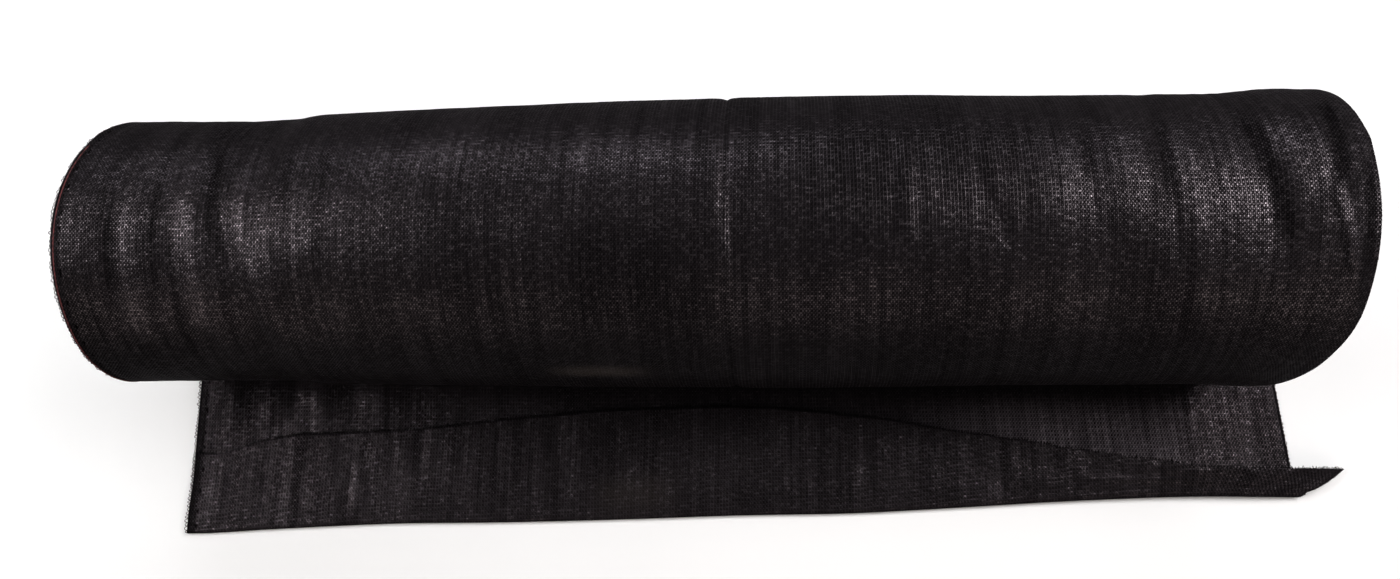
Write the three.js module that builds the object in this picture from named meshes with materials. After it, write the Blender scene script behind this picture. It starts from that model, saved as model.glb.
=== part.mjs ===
// A roll of knitted shade netting lying on its own loose end, which is turned back over itself.
// X runs along the roll, -Y to the side where the loose end comes out, +Z up.
// The origin is on the floor, under the middle of the roll.

import * as THREE from "three";

const { clamp, degToRad, lerp, smoothstep } = THREE.MathUtils;

// Driving dimensions, in millimetres, and shares of a length
const ROLL_LENGTH = 1500;
const NET_THICKNESS = 2;
const SEAT_GAP = 0.3;
const FLAT_SPOT_DEPTH = 6;
const RIM_ROUNDING = 6;
const END_DISH = 3;
const END_WANDER_REACH = 160;
const STEADY_FACE_SHARE = 0.6;
const CREASE_FULL_SHARE = 0.35;
const LOOSE_END_LEFT = -737;
const LOOSE_END_RIGHT = 750;
const FOLD_LEFT = -724;
const FOLD_RIGHT = 779;
const TUCK_UNDER_ROLL = 50;
const CORNER_POINT = 62;
const CORNER_WIDTH = 190;
const CORNER_BULGE = 0.75;

// Colour and finish of the black net
const NET_COLOUR = 0x1d1b1d;
const NET_ROUGHNESS = 0.55;

// Fineness of the two surfaces
const STEPS_ROUND_ROLL = 48;
const STEPS_ROUND_RIM = 3;
const STEPS_ROUND_FOLD = 6;
const STEPS_ON_FLAP = 6;
const BASE_STEPS = [0, 0.2, 0.42, 0.62, 0.82, 1];
const END_RINGS = [0.08, 0.35, 0.62, 0.76, 0.88];

// Where sections are cut along the roll: closer together where the outer turns are creased
const ROLL_RUNS = [
  { from: -744, to: -480, steps: 22 },
  { from: -480, to: 30, steps: 12 },
  { from: 30, to: 68, steps: 4 },
  { from: 68, to: 300, steps: 6 },
  { from: 300, to: 380, steps: 7 },
  { from: 380, to: 520, steps: 6 },
  { from: 520, to: 744, steps: 19 },
];

// How thick the roll is along its length
const ROLL_RADII = [
  { x: -750, radius: 173 },
  { x: -600, radius: 171 },
  { x: -460, radius: 172.5 },
  { x: -425, radius: 176 },
  { x: -200, radius: 181 },
  { x: 50, radius: 183.5 },
  { x: 250, radius: 183 },
  { x: 400, radius: 180 },
  { x: 640, radius: 178.5 },
  { x: 690, radius: 181.5 },
  { x: 750, radius: 180.5 },
];

// How far the outermost turns stand back from each end, round the roll: degrees from its top towards -Y
const END_WANDER = [
  { angle: -180, left: 2, right: 25 },
  { angle: -135, left: 6, right: 10 },
  { angle: -90, left: 12, right: -2 },
  { angle: -45, left: 2, right: -8 },
  { angle: 0, left: -9, right: -9 },
  { angle: 45, left: -8, right: 3 },
  { angle: 68, left: -8, right: 23 },
  { angle: 90, left: -6, right: 42 },
  { angle: 135, left: -3, right: 40 },
  { angle: 180, left: 2, right: 25 },
];

// Creases of the outermost turns: each is a soft ridge, or a trough where its height is negative.
// x is its place at the middle angle, lean the shift of x over a radian, reach the half length in degrees.
const ROLL_CREASES = [
  { x: -681, angle: 30, reach: 60, lean: 0, height: -3.5, width: 9 },
  { x: -661, angle: 5, reach: 55, lean: 4, height: 2.5, width: 9 },
  { x: -629, angle: 5, reach: 60, lean: 3, height: -2.5, width: 12 },
  { x: -596, angle: 8, reach: 60, lean: 8, height: 2.5, width: 12 },
  { x: -562, angle: 0, reach: 60, lean: 8, height: -2.5, width: 12 },
  { x: -523, angle: 8, reach: 65, lean: 15, height: 2.5, width: 14 },
  { x: -508, angle: 38, reach: 35, lean: 10, height: -3, width: 9 },
  { x: 49, angle: 0, reach: 400, lean: 3, height: -2.5, width: 7 },
  { x: 250, angle: -6, reach: 40, lean: -4, height: 1.5, width: 12 },
  { x: 333, angle: 0, reach: 32, lean: 68, height: 3, width: 11 },
  { x: 351, angle: 3, reach: 30, lean: 68, height: -2.5, width: 9 },
  { x: 455, angle: -14, reach: 40, lean: -9, height: -1.5, width: 12 },
  { x: 521, angle: 0, reach: 50, lean: 6, height: 2, width: 11 },
  { x: 545, angle: -12, reach: 45, lean: 14, height: -2.5, width: 9 },
  { x: 618, angle: -5, reach: 50, lean: 52, height: 3.5, width: 16 },
  { x: 649, angle: 0, reach: 48, lean: 54, height: -4.5, width: 10 },
  { x: 690, angle: -8, reach: 50, lean: 10, height: 2.5, width: 12 },
  { x: 717, angle: -12, reach: 50, lean: -8, height: -3.5, width: 8 },
  { x: 733, angle: 5, reach: 60, lean: 0, height: 1.5, width: 8 },
];

// The turned-back flap along its fold: y of the fold and of the free edge,
// the radius of the fold's curl, and the height of the free edge above the floor
const FLAP_SECTIONS = [
  { x: -724, fold: -363, edge: -251, curl: 3.5, lift: 4.5 },
  { x: -688, fold: -362, edge: -253, curl: 3.5, lift: 4.5 },
  { x: -600, fold: -356, edge: -228, curl: 4, lift: 5 },
  { x: -430, fold: -347, edge: -219, curl: 4.5, lift: 6 },
  { x: -280, fold: -344, edge: -204, curl: 4.5, lift: 6 },
  { x: -120, fold: -339, edge: -190, curl: 4.5, lift: 7 },
  { x: 50, fold: -332, edge: -187, curl: 5, lift: 8 },
  { x: 200, fold: -328, edge: -197, curl: 5, lift: 8 },
  { x: 350, fold: -319, edge: -220, curl: 5.5, lift: 10 },
  { x: 470, fold: -311, edge: -238, curl: 6.5, lift: 15 },
  { x: 590, fold: -305, edge: -258, curl: 8, lift: 24 },
  { x: 660, fold: -303, edge: -267, curl: 9, lift: 28 },
  { x: 740, fold: -303, edge: -268, curl: 8.5, lift: 21 },
  { x: 779, fold: -303, edge: -267, curl: 6, lift: 7 },
];

// Where sections are cut along the fold of the loose end
const FOLD_RUNS = [
  { from: FOLD_LEFT, to: 26, steps: 20 },
  { from: 26, to: 74, steps: 4 },
  { from: 74, to: 560, steps: 12 },
  { from: 560, to: FOLD_RIGHT, steps: 12 },
];

// Ridges that run across the flap from its fold to its free edge
const FLAP_RIDGES = [
  { x: -640, height: 1.5, width: 20 },
  { x: -350, height: 1.2, width: 30 },
  { x: 50, height: 2.5, width: 9 },
  { x: 240, height: 1.2, width: 26 },
];

// Smooth curve through one column of a table: cubic pieces whose slope at a row comes from its neighbours.
function curveThrough(rows, key, column) {
  const slopes = rows.map((row, i) => {
    const before = rows[Math.max(i - 1, 0)];
    const after = rows[Math.min(i + 1, rows.length - 1)];
    return (after[column] - before[column]) / (after[key] - before[key]);
  });
  return (place) => {
    const at = clamp(place, rows[0][key], rows.at(-1)[key]);
    let i = 0;
    while (i < rows.length - 2 && at > rows[i + 1][key]) i += 1;
    const span = rows[i + 1][key] - rows[i][key];
    const t = (at - rows[i][key]) / span;
    const rise = t * t * (3 - 2 * t);
    const start = t * (1 - t) * (1 - t) * span * slopes[i];
    const finish = t * t * (t - 1) * span * slopes[i + 1];
    return lerp(rows[i][column], rows[i + 1][column], rise) + start + finish;
  };
}

// Places along a length, from runs that each have their own number of steps.
function placesAlong(runs) {
  const places = runs.flatMap(({ from, to, steps }) =>
    Array.from({ length: steps }, (_, i) => lerp(from, to, i / steps)),
  );
  return [...places, runs.at(-1).to];
}

// A bell-shaped bump: 1 at the middle, falling away over the given width.
function bell(distance, width) {
  return Math.exp(-0.5 * (distance / width) ** 2);
}

// A closed skin over a row of loops with equally many points, its two end loops closed by strips across them.
function skinOver(loops) {
  const count = loops[0].length;
  const last = (loops.length - 1) * count;
  const index = [];
  for (let ring = 0; ring < loops.length - 1; ring += 1) {
    for (let j = 0; j < count; j += 1) {
      const here = ring * count + j;
      const next = ring * count + ((j + 1) % count);
      index.push(here, next, next + count, here, next + count, here + count);
    }
  }
  for (let j = 0; j < count / 2 - 1; j += 1) {
    const across = count - 1 - j;
    index.push(j + 1, j, across, j + 1, across, across - 1);
    index.push(last + j, last + j + 1, last + across - 1, last + j, last + across - 1, last + across);
  }
  const geometry = new THREE.BufferGeometry().setFromPoints(loops.flat());
  geometry.setIndex(index);
  geometry.computeVertexNormals();
  return geometry;
}

// The roll: one wound solid with rounded ends, uneven turns at the rims, and a flat spot where it lies.
function rollGeometry() {
  const radiusAt = curveThrough(ROLL_RADII, "x", "radius");
  const leftWander = curveThrough(END_WANDER, "angle", "left");
  const rightWander = curveThrough(END_WANDER, "angle", "right");
  const halfLength = ROLL_LENGTH / 2;
  const lowest = NET_THICKNESS + SEAT_GAP;

  const creaseHeight = (x, angle) =>
    ROLL_CREASES.reduce((sum, crease) => {
      const turn = angle - crease.angle;
      const middle = crease.x + crease.lean * degToRad(turn);
      const fade = 1 - smoothstep(Math.abs(turn), CREASE_FULL_SHARE * crease.reach, crease.reach);
      return sum + crease.height * fade * bell(x - middle, crease.width);
    }, 0);

  // A loop round the roll at place x, drawn in from the surface by inset.
  // wander is the share of the rim's own wandering that the loop takes.
  const loopAt = (x, inset, wander) =>
    Array.from({ length: STEPS_ROUND_ROLL }, (_, i) => {
      const angle = -180 + (360 * (i + 0.5)) / STEPS_ROUND_ROLL;
      const shift = x < 0 ? leftWander(angle) : -rightWander(angle);
      const along = x + shift * wander;
      const full = radiusAt(x);
      const radius = full + creaseHeight(along, angle) - inset;
      const height = lowest + full - FLAT_SPOT_DEPTH + radius * Math.cos(degToRad(angle));
      return new THREE.Vector3(along, -radius * Math.sin(degToRad(angle)), Math.max(height, lowest));
    });

  // One end, from its middle out to the rim and round it on to the roll
  const endLoops = (side) => {
    const full = radiusAt(side * halfLength);
    const face = END_RINGS.map((share) => {
      const dish = END_DISH * (1 - share * share);
      return loopAt(side * (halfLength - dish), full * (1 - share), smoothstep(share, STEADY_FACE_SHARE, 1));
    });
    const rim = Array.from({ length: STEPS_ROUND_RIM }, (_, i) => {
      const turn = (i * Math.PI) / 2 / STEPS_ROUND_RIM;
      const back = RIM_ROUNDING * (1 - Math.cos(turn));
      return loopAt(side * (halfLength - back), RIM_ROUNDING * (1 - Math.sin(turn)), 1);
    });
    return [...face, ...rim];
  };

  const body = placesAlong(ROLL_RUNS).map((x) => {
    const wander = smoothstep(Math.abs(x), halfLength - END_WANDER_REACH, halfLength - RIM_ROUNDING);
    return loopAt(x, 0, wander);
  });
  return skinOver([...endLoops(-1), ...body, ...endLoops(1).reverse()]);
}

// The loose end: a sheet that lies flat from under the roll to its fold and is turned back as a flap.
function looseEndGeometry() {
  const column = (name) => curveThrough(FLAP_SECTIONS, "x", name);
  const foldAt = column("fold");
  const edgeAt = column("edge");
  const curlAt = column("curl");
  const liftAt = column("lift");
  const middle = NET_THICKNESS / 2;

  // Points down the middle of the sheet's thickness at one section, from under the roll to the free edge
  const sectionAt = (foldX) => {
    const share = (foldX - FOLD_LEFT) / (FOLD_RIGHT - FOLD_LEFT);
    const baseX = lerp(LOOSE_END_LEFT, LOOSE_END_RIGHT, share);
    const edgeX = foldX + CORNER_POINT * smoothstep(foldX, FOLD_RIGHT - CORNER_WIDTH, FOLD_RIGHT) ** 2;
    const curl = curlAt(foldX);
    const turnY = foldAt(foldX) + curl;
    const ridge = FLAP_RIDGES.reduce((sum, { x, height, width }) => sum + height * bell(foldX - x, width), 0);
    const base = BASE_STEPS.map(
      (t) => new THREE.Vector3(lerp(baseX, foldX, t), lerp(TUCK_UNDER_ROLL, turnY, t), middle),
    );
    const fold = Array.from({ length: STEPS_ROUND_FOLD }, (_, i) => {
      const turn = (Math.PI * (i + 1)) / STEPS_ROUND_FOLD;
      return new THREE.Vector3(foldX, turnY - curl * Math.sin(turn), middle + curl * (1 - Math.cos(turn)));
    });
    const flap = Array.from({ length: STEPS_ON_FLAP }, (_, i) => {
      const t = (i + 1) / STEPS_ON_FLAP;
      const height = lerp(middle + 2 * curl, liftAt(foldX), smoothstep(t, 0, 1));
      const along = lerp(foldX, edgeX, t ** CORNER_BULGE);
      return new THREE.Vector3(along, lerp(turnY, edgeAt(foldX), t), height + ridge * t);
    });
    return [...base, ...fold, ...flap];
  };

  // The same section moved to one face of the sheet, square to its run in the Y-Z plane
  const faceOf = (section, offset) =>
    section.map((point, i) => {
      const before = section[Math.max(i - 1, 0)];
      const after = section[Math.min(i + 1, section.length - 1)];
      const run = Math.hypot(after.y - before.y, after.z - before.z);
      const sideways = new THREE.Vector3(0, (after.z - before.z) / run, (before.y - after.y) / run);
      return point.clone().addScaledVector(sideways, offset);
    });

  const loops = placesAlong(FOLD_RUNS).map((foldX) => {
    const section = sectionAt(foldX);
    const inside = faceOf(section, NET_THICKNESS / 2);
    const outside = faceOf(section, -NET_THICKNESS / 2);
    return [...inside, ...outside.reverse()];
  });
  return skinOver(loops);
}

// One named piece of the net, with its finish.
function netPiece(name, geometry) {
  const finish = { color: NET_COLOUR, roughness: NET_ROUGHNESS, metalness: 0 };
  const piece = new THREE.Mesh(geometry, new THREE.MeshStandardMaterial(finish));
  piece.name = name;
  return piece;
}

const shadeNetRoll = new THREE.Group();
shadeNetRoll.name = "shade_net_roll";
shadeNetRoll.add(netPiece("net_roll", rollGeometry()));
shadeNetRoll.add(netPiece("loose_end", looseEndGeometry()));

export default shadeNetRoll;
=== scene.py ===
"""A roll of black knitted shade netting lying on its own loose end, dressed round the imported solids."""

import bpy
import numpy as np
from mathutils import Matrix, Vector


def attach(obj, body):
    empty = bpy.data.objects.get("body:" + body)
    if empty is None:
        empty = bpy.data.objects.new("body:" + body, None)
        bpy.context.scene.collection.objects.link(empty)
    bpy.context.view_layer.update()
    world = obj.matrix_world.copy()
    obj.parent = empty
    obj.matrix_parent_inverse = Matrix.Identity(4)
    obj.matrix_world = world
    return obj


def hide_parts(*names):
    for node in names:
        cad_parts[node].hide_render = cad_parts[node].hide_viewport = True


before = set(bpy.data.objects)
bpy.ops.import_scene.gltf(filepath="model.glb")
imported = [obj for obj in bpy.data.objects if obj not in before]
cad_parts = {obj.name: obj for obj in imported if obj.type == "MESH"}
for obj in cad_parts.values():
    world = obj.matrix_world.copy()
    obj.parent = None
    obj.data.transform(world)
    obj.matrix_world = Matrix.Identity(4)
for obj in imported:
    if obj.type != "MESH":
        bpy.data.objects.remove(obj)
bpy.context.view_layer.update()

# Sizes of the roll, in metres, as in the solids
HALF_LENGTH = 0.750
LOWEST = 0.0023
FLAT_SPOT = 0.006
END_DISH = 0.003
END_WANDER_REACH = 0.160
STEADY_FACE_SHARE = 0.6
CREASE_FULL_SHARE = 0.35

# Sizes of the loose end, in metres, as in the solids
LOOSE_END_LEFT = -0.737
LOOSE_END_RIGHT = 0.750
FOLD_LEFT = -0.724
FOLD_RIGHT = 0.779
TUCK_UNDER_ROLL = 0.050
CORNER_POINT = 0.062
CORNER_WIDTH = 0.190
CORNER_BULGE = 0.75
SHEET_CENTRE = 0.001

# Finer shape than the solids have, in metres or shares
CREASE_GAIN = 1.3
FOLD_SOFT_SHARE = 0.15
CORNER_AT_FOLD = 0.15
FREE_EDGE_WAVER = 0.0016
FREE_EDGE_WAVE = 0.034

# The net itself
NET_WIDTH = 1.500
NET_THICKNESS = 0.0016
WALE_PITCH = 0.0041
COURSE_PITCH = 0.0052
TURN_PITCH = 0.0024
MARKER_FROM_EDGE = 0.0058
MARKER_RADIUS = 0.0008
MAP_RADIUS = 0.179

# The two ends of the roll, in metres
RIM_INSIDE = 0.025
RIM_INSET = 0.0012
RIM_TURN_IN = np.array([0.0, 0.0003, 0.0008, 0.0016, TURN_PITCH, TURN_PITCH])
RIM_BACK = np.array([0.0003, 0.0, 0.0, 0.0004, 0.0010, RIM_INSIDE])
RIM_ROUNDING = (0.744, 0.750)
FACE_BEHIND_RIM = 0.004
FACE_CLEARANCE = 0.0004
CREST_BEHIND_RIM = 0.001
EYE_RADIUS = 0.009
EYE_PIT = 0.030
EYE_BOTTOM = 0.045
FACE_BACK = 0.060
TURN_PROFILE = np.array([0.0, 0.75, 1.0, 0.7])
TURN_DEPTH = 0.0026
TURN_UNEVENNESS = 0.0014
TURN_DRIFT = 0.0022

# Edge threads, in metres
LOOP_THREAD = 0.0007
LOOP_BEHIND_RIM = 0.001
LOOP_UNDER_RIM = 0.0024
LEFT_LOOP_REACH = 0.0042
RIGHT_RIM_LOOP_REACH = 0.0016
RIGHT_SHEET_LOOP_REACH = 0.0018
CUT_END_THREAD = 0.0006
CUT_END_REACH = (0.0008, 0.0034)
CUT_END_SCATTER = 0.0007
MARKER_WEAVE = 0.00035
MARKER_SUNK = 0.003

# Fineness of the meshes
WRAP_STEPS_ROUND = 192
TURN_STEPS_ROUND = 168
ROWS_PER_TURN = 4
SHEET_STEPS_ACROSS = 320
BASE_STEPS = 52
FOLD_STEPS = 14
FLAP_STEPS = 52
LOOP_STEPS = 6
RIM_STEPS = 400
MARKER_STEPS = 480
FLOOR_STEPS_ROUND = 96

# Rows of the wrap along X: closer together over the creased ends than over the smooth middle
WRAP_ROWS = np.concatenate([
    np.linspace(-0.7495, -0.380, 154, endpoint=False),
    np.linspace(-0.380, 0.020, 58, endpoint=False),
    np.linspace(0.020, 0.080, 30, endpoint=False),
    np.linspace(0.080, 0.200, 18, endpoint=False),
    np.linspace(0.200, 0.7495, 244),
])

# Shine and tone of the net on the roll and on the loose end. The loose end's greater paleness is painted
# light:
# the same net painted paler, as if lit more
NET_GLOSS = 0.37
NET_END_GLOSS = 0.52
SHEET_GLOSS = 0.25
SHEET_END_GLOSS = 0.21
NET_PALENESS = 0.4
SHEET_PALENESS_WITH_PAINTED_LIGHT = 0.75
# How strong the loose end's painted pool of light is
SHEET_PAINTED_LIGHT_POOL = 0.8

# Colours of the net
HOLE_BLACK = (0.0010, 0.0009, 0.0010, 1)
THREAD_BLACK = (0.020, 0.0172, 0.0190, 1)
# Paler grey of the loose end's painted pool of light
PAINTED_LIGHT_POOL_GREY = (0.060, 0.053, 0.058, 1)
DUST_BROWN = (0.040, 0.034, 0.029, 1)

# Painted shading: where net is bunched in a fold, its colour and shine are painted darker as painted shade,
# and where it is drawn taut over a ridge, lighter as a painted highlight; the two broad rows paint wide
# stretches of the roll darker as painted
# shade. Columns: place across the net, its shift for each metre along the net, start and stop along the net,
# half width, and how much less it shines and how much darker it is painted (negative for more)
PAINTED_SHADING_FADE = 0.020
ROLL_PAINTED_SHADING = [
    (0.068, 0.00, 0.000, 0.100, 0.010, 0.50),
    (0.091, -0.03, -0.040, 0.080, 0.018, -0.10),
    (0.090, -0.03, 0.090, 0.170, 0.017, -0.80),
    (0.119, 0.00, -0.030, 0.100, 0.011, 0.40),
    (0.156, 0.03, -0.040, 0.060, 0.020, -0.30),
    (0.156, 0.03, 0.075, 0.150, 0.020, -0.65),
    (0.187, 0.10, -0.090, 0.050, 0.013, 0.45),
    (0.222, 0.13, -0.050, 0.080, 0.018, -0.35),
    (0.680, 0.00, 0.030, 0.140, 0.170, 0.28),
    (1.040, 0.00, -0.100, 0.000, 0.170, 0.18),
    (1.204, 0.00, -0.080, -0.020, 0.009, 0.50),
    (1.289, 0.00, -0.105, 0.000, 0.011, 0.50),
    (1.400, 0.13, -0.110, 0.050, 0.015, 0.65),
    (1.445, 0.28, 0.005, 0.090, 0.006, 0.50),
    (1.459, -0.07, -0.130, 0.000, 0.014, 0.75),
    (1.460, -0.66, -0.060, 0.000, 0.007, -0.70),
    (1.460, 0.18, 0.000, 0.080, 0.007, -0.70),
    (1.489, 0.00, -0.030, 0.070, 0.010, 0.60),
]
# On the loose end, a painted shadow: the base painted darker where it comes out from under the roll, most in
# the middle of its width
SHEET_PAINTED_SHADOW = [
    (0.950, 0.00, -0.100, 0.212, 0.750, 0.80),
]

# A pool of light painted paler on the loose end, in metres across and along the net: start, full, fading
# from, end
PAINTED_LIGHT_POOL_ACROSS = (0.95, 1.16, 1.345, 1.395)
PAINTED_LIGHT_POOL_ALONG = (0.212, 0.250, 0.31, 0.34)

# A patch where the pillars of the knit show more: place, half size at full and at its end
RIBBED_ACROSS = (1.02, 0.08, 0.24)
RIBBED_ALONG = (-0.02, 0.03, 0.10)

# Across the net: the duller left selvedge, the slits along it, and where the right end's shine begins
SELVEDGE_ACROSS = (0.010, 0.014)
SLITS_ACROSS = (0.0125, 0.0008, 0.0017)
RIGHT_END_ACROSS = (1.36, 1.46)

# Dust: place across and along the net, half width and half length, how much of it
ROLL_DUST = (0.640, 0.229, 0.080, 0.020, 0.45)
SHEET_DUST = (0.629, 0.426, 0.080, 0.040, 0.15)

# How thick the roll is along its length: place along X, radius
ROLL_RADII = np.array([
    (-0.750, 0.1730),
    (-0.600, 0.1710),
    (-0.515, 0.1725),
    (-0.480, 0.1760),
    (-0.200, 0.1810),
    (0.050, 0.1835),
    (0.250, 0.1830),
    (0.400, 0.1800),
    (0.640, 0.1785),
    (0.690, 0.1815),
    (0.750, 0.1805),
])

# How far the outermost turns stand back from each end: degrees from the top towards -Y, left end, right end
END_WANDER = np.array([
    (-180, 0.002, 0.025),
    (-135, 0.006, 0.010),
    (-90, 0.012, -0.002),
    (-45, 0.002, -0.008),
    (0, -0.009, -0.009),
    (45, -0.008, 0.003),
    (68, -0.008, 0.023),
    (90, -0.006, 0.042),
    (135, -0.003, 0.040),
    (180, 0.002, 0.025),
])

# Creases of the outermost turns: place along X at the middle angle, that angle and the half length
# in degrees, shift of the place over a radian, height (negative for a trough), width on its left
# and on its right, and 1 for a sharp crest or bottom, 0 for a round one
ROLL_CREASES = [
    (-0.742, 6, 40, 0.000, 0.0022, 0.008, 0.030, 0),
    (-0.687, 9, 46, -0.010, -0.0022, 0.008, 0.040, 1),
    (-0.656, 12, 60, 0.010, 0.0016, 0.016, 0.014, 0),
    (-0.615, 8, 50, 0.012, -0.0018, 0.016, 0.040, 1),
    (-0.586, 12, 58, 0.022, 0.0016, 0.014, 0.014, 0),
    (-0.552, 2, 42, 0.045, -0.0028, 0.014, 0.045, 1),
    (-0.527, 8, 52, 0.060, 0.0016, 0.014, 0.016, 0),
    (-0.478, 12, 50, 0.030, -0.0014, 0.018, 0.070, 0),
    (-0.508, 36, 22, 0.030, 0.0010, 0.006, 0.010, 0),
    (-0.424, 8, 26, -0.118, 0.0009, 0.010, 0.016, 0),
    (-0.490, 60, 34, 0.060, 0.0009, 0.008, 0.016, 0),
    (-0.203, 50, 46, 0.020, -0.0016, 0.012, 0.016, 0),
    (0.047, 0, 400, 0.003, -0.0025, 0.006, 0.004, 1),
    (0.052, 6, 26, 0.010, 0.0012, 0.003, 0.010, 0),
    (0.237, -6, 30, -0.004, -0.0010, 0.010, 0.004, 1),
    (0.250, -6, 30, -0.004, 0.0012, 0.009, 0.007, 0),
    (0.264, -6, 30, -0.004, -0.0012, 0.004, 0.010, 1),
    (0.341, -2, 30, 0.068, -0.0024, 0.040, 0.010, 1),
    (0.381, -6, 40, 0.000, -0.0007, 0.014, 0.006, 1),
    (0.399, -6, 40, 0.000, 0.0005, 0.008, 0.024, 0),
    (0.455, -16, 32, -0.004, -0.0016, 0.005, 0.010, 1),
    (0.516, -10, 36, -0.020, 0.0032, 0.035, 0.012, 0),
    (0.540, -10, 40, 0.010, -0.0024, 0.020, 0.010, 1),
    (0.646, -8, 46, 0.034, -0.0050, 0.110, 0.014, 1),
    (0.709, -14, 36, 0.000, 0.0040, 0.150, 0.018, 1),
    (0.737, -11, 20, -0.120, 0.0018, 0.008, 0.007, 0),
    (0.727, 17, 36, 0.030, 0.0014, 0.008, 0.008, 0),
    (0.750, 15, 45, -0.010, -0.0034, 0.010, 0.020, 1),
]

# Ripples of the outermost turns: height, length along X, cells round the roll, first cell, random seed
SLOW_RIPPLES = (0.0006, 0.11, 6, 20, 11)
BROAD_RIPPLES = (0.0005, 0.026, 9, 40, 12)
FINE_RIPPLES = (0.00025, 0.0105, 12, 60, 13)
SLACK_ENDS = (0.40, 0.65)

# The turned-back flap along its fold: place along X, y of the fold, y of the free edge,
# radius of the fold's curl, height of the free edge
FLAP_SECTIONS = np.array([
    (-0.724, -0.363, -0.251, 0.0035, 0.0045),
    (-0.688, -0.362, -0.253, 0.0035, 0.0045),
    (-0.600, -0.356, -0.228, 0.0040, 0.0050),
    (-0.430, -0.347, -0.219, 0.0045, 0.0060),
    (-0.280, -0.344, -0.204, 0.0045, 0.0060),
    (-0.120, -0.339, -0.190, 0.0045, 0.0070),
    (0.050, -0.332, -0.187, 0.0050, 0.0080),
    (0.200, -0.328, -0.197, 0.0050, 0.0080),
    (0.350, -0.319, -0.220, 0.0055, 0.0100),
    (0.470, -0.311, -0.238, 0.0065, 0.0150),
    (0.590, -0.305, -0.258, 0.0080, 0.0240),
    (0.660, -0.303, -0.267, 0.0090, 0.0280),
    (0.740, -0.303, -0.268, 0.0085, 0.0210),
    (0.779, -0.303, -0.267, 0.0060, 0.0070),
])

# Ridges that run across the flap from its fold to its free edge: place along X, height, width
FLAP_RIDGES = [
    (-0.640, 0.0015, 0.020),
    (-0.350, 0.0012, 0.030),
    (0.050, 0.0025, 0.009),
    (0.240, 0.0012, 0.026),
]

# Waves of the loose end where it comes out from under the roll: place along X, height, width
BASE_WAVES = [
    (-0.675, 0.0052, 0.014),
    (-0.614, 0.0052, 0.015),
    (-0.548, 0.0052, 0.018),
    (-0.457, 0.0040, 0.020),
    (-0.330, 0.0018, 0.030),
    (0.050, 0.0025, 0.010),
    (0.410, 0.0020, 0.024),
    (0.530, 0.0022, 0.016),
    (0.660, 0.0022, 0.020),
]

# Where those waves rise, out from the roll's axis, and where they die, back from the free edge
WAVES_RISE = (0.070, 0.130)
WAVES_DIE = (0.005, 0.060)

# Faint ripples along the loose end's wales: height, length along X, first cell, random seed
SHEET_BROAD_RIPPLES = (0.0006, 0.017, 5, 21)
SHEET_FINE_RIPPLES = (0.0004, 0.008, 0, 22)
SHEET_CELLS = 2.2
FLAP_RIPPLE_GAIN = 1.6

# A crease on the raised right end of the flap: height, share of the way over the flap and its width,
# place along X and its width
FLAP_PINCH = (0.0016, 0.36, 0.07, 0.575, 0.075)

# The camera, fitted to the photograph's frame
FRAME_WIDTH_PIXELS = 1400
FOCAL_PIXELS = 1158
SENSOR_WIDTH_MM = 36.0
CAMERA_PLACE = (0.124, -0.409, 1.600)
CAMERA_PITCH_DOWN = 76.2
CAMERA_YAW = -4.60
CAMERA_ROLL = -0.43

# The floor and the wall round it, in metres
FLOOR_RADIUS = 5.0
WALL_HEIGHT = 4.0
COVE_RADIUS = 1.5
FLOOR_DROP = 0.0002

# Soft lamps: name, place, point it faces, width and depth, power in watts, spread in degrees, colour
LAMPS = [
    ("far_left_lamp", (-2.15, -0.05, 2.00), (-0.40, 0.0, 0.1), (1.8, 0.6), 5.0, 70, (1.0, 0.93, 0.95)),
    ("left_lamp", (-1.80, 0.34, 2.15), (-0.30, 0.0, 0.1), (1.4, 0.7), 2.8, 70, (1.0, 0.93, 0.95)),
    ("right_lamp", (1.67, 0.66, 2.33), (0.40, 0.0, 0.1), (1.9, 0.75), 13.0, 70, (1.0, 0.93, 0.95)),
    ("front_left_fill", (-1.70, -2.30, 1.20), (-0.5, -0.1, 0.2), (2.4, 1.8), 6.4, 120, (1.0, 0.84, 0.79)),
    ("front_right_fill", (1.25, -2.20, 1.50), (0.5, -0.1, 0.2), (2.4, 1.8), 6.8, 120, (1.0, 0.84, 0.79)),
    ("left_floor_lamp", (-1.50, -0.10, 1.30), (-1.50, -0.10, 0.0), (0.8, 1.2), 2.2, 60, (1.0, 0.96, 0.97)),
    ("back_left_lamp", (-0.85, 2.40, 1.90), (-0.4, 0.0, 0.2), (1.9, 1.0), 13.0, 120, (0.98, 0.93, 1.0)),
    ("back_right_lamp", (0.95, 2.40, 1.90), (0.4, 0.0, 0.2), (1.5, 1.0), 6.5, 120, (0.98, 0.93, 1.0)),
]


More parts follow.
